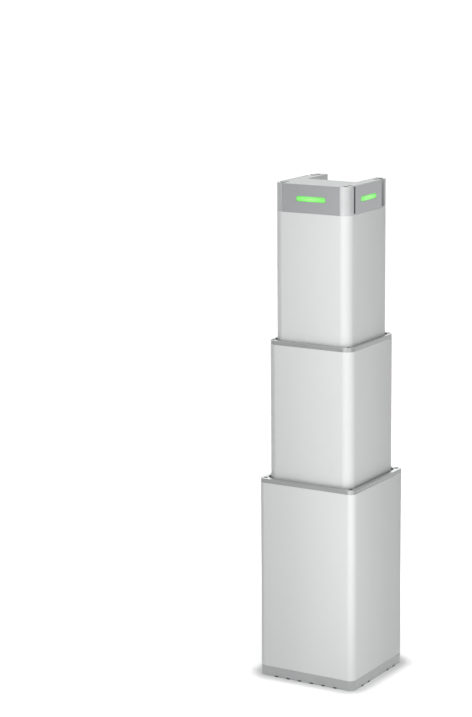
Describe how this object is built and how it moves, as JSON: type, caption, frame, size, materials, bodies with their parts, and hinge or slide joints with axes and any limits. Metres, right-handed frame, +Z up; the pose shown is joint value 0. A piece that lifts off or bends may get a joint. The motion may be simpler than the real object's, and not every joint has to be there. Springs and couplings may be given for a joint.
{
  "type": "electric lifting column",
  "caption": "Three-stage square telescopic lifting column with a notched mounting head, driven by one motor through two spindles in step.",
  "frame": {"origin": "centre of the underside of the base plate", "axes": "+Z up, along the lift; -Y out of the front panel of the head, +X out of its right panel, +Y out of the notch, where the sockets also are"},
  "size_m": [0.18, 0.18, 0.837],
  "materials": {
    "anodised_tube": "satin silver anodised extrusion",
    "rim_casting": "bead-blasted, clear anodised",
    "head_panel": "fine textured grey",
    "wiper_rubber": "matt",
    "glide_plastic": "smooth",
    "light_bar": "diffusing, lit green",
    "circuit_board": "solder resist",
    "black_plastic": "fine moulded texture",
    "machined_aluminium": "machined",
    "bronze": "machined",
    "motor_can": "smooth grey paint",
    "screw_steel": "zinc plated, dull",
    "shaft_steel": "ground"
  },
  "bodies": {
    "base": {"base_plate": "rim_casting", "base_bushes": "bronze", "base_screws": "screw_steel", "power_socket": "black_plastic", "data_socket": "black_plastic", "gear_housing": "machined_aluminium", "housing_screws": "screw_steel", "lower_spindle_bearing": "shaft_steel", "hex_shaft_bearing": "shaft_steel", "motor_body": "motor_can", "motor_end_cap": "black_plastic", "motor_screws": "screw_steel", "control_box": "black_plastic", "control_box_lid": "black_plastic", "control_board": "circuit_board", "outer_tube": "anodised_tube", "outer_rim": "rim_casting", "outer_rim_screws": "screw_steel", "outer_wiper": "wiper_rubber", "outer_guide_pads": "glide_plastic"},
    "pinion_drive": {"motor_pinion": "shaft_steel"},
    "lower_drive": {"lower_spindle": "shaft_steel", "lower_spindle_gear": "shaft_steel", "lower_stop_collar": "shaft_steel"},
    "hex_drive": {"hex_shaft": "shaft_steel", "hex_shaft_gear": "shaft_steel"},
    "middle_stage": {"middle_tube": "anodised_tube", "middle_rim": "rim_casting", "middle_rim_screws": "screw_steel", "middle_wiper": "wiper_rubber", "middle_guide_pads": "glide_plastic", "middle_foot_pads": "glide_plastic", "middle_carrier": "machined_aluminium", "middle_carrier_screws": "screw_steel", "lower_nut": "bronze", "lower_nut_screws": "screw_steel", "upper_spindle_bearing": "shaft_steel"},
    "upper_drive": {"upper_spindle": "shaft_steel", "drive_bush": "bronze", "spindle_circlip": "shaft_steel", "upper_stop_collar": "shaft_steel"},
    "inner_stage": {"inner_tube": "anodised_tube", "inner_foot_pads": "glide_plastic", "inner_carrier": "machined_aluminium", "inner_carrier_screws": "screw_steel", "upper_nut": "bronze", "upper_nut_screws": "screw_steel", "head_frame": "rim_casting", "head_screws": "screw_steel", "front_panel": "head_panel", "right_panel": "head_panel", "left_panel": "head_panel", "front_light": "light_bar", "right_light": "light_bar", "left_light": "light_bar", "light_boards": "circuit_board"}
  },
  "joints": [
    {"name": "middle_slide", "type": "slide", "parent": "base", "child": "middle_stage", "axis": [0, 0, 1], "range_m": [-0.213, 0.012]},
    {"name": "inner_slide", "type": "slide", "parent": "middle_stage", "child": "inner_stage", "axis": [0, 0, 1], "range_m": [-0.213, 0.012]},
    {"name": "lower_spindle_spin", "type": "hinge", "parent": "base", "child": "lower_drive", "pos_m": [0, -0.036, 0.02], "axis": [0, 0, 1], "continuous": true},
    {"name": "hex_shaft_spin", "type": "hinge", "parent": "base", "child": "hex_drive", "pos_m": [0, 0.036, 0.02], "axis": [0, 0, 1], "continuous": true},
    {"name": "pinion_spin", "type": "hinge", "parent": "base", "child": "pinion_drive", "pos_m": [-0.027, 0, 0.02], "axis": [0, 0, 1], "continuous": true},
    {"name": "upper_spindle_spin", "type": "hinge", "parent": "middle_stage", "child": "upper_drive", "pos_m": [0, 0.036, 0.25], "axis": [0, 0, 1], "continuous": true}
  ],
  "couplings": [
    {"joint": "inner_slide", "follows": "middle_slide", "ratio": 1},
    {"joint": "lower_spindle_spin", "follows": "middle_slide", "rad_per_m": -392.7},
    {"joint": "hex_shaft_spin", "follows": "middle_slide", "rad_per_m": -392.7},
    {"joint": "upper_spindle_spin", "follows": "middle_slide", "rad_per_m": -392.7},
    {"joint": "pinion_spin", "follows": "middle_slide", "rad_per_m": 785.4}
  ]
}
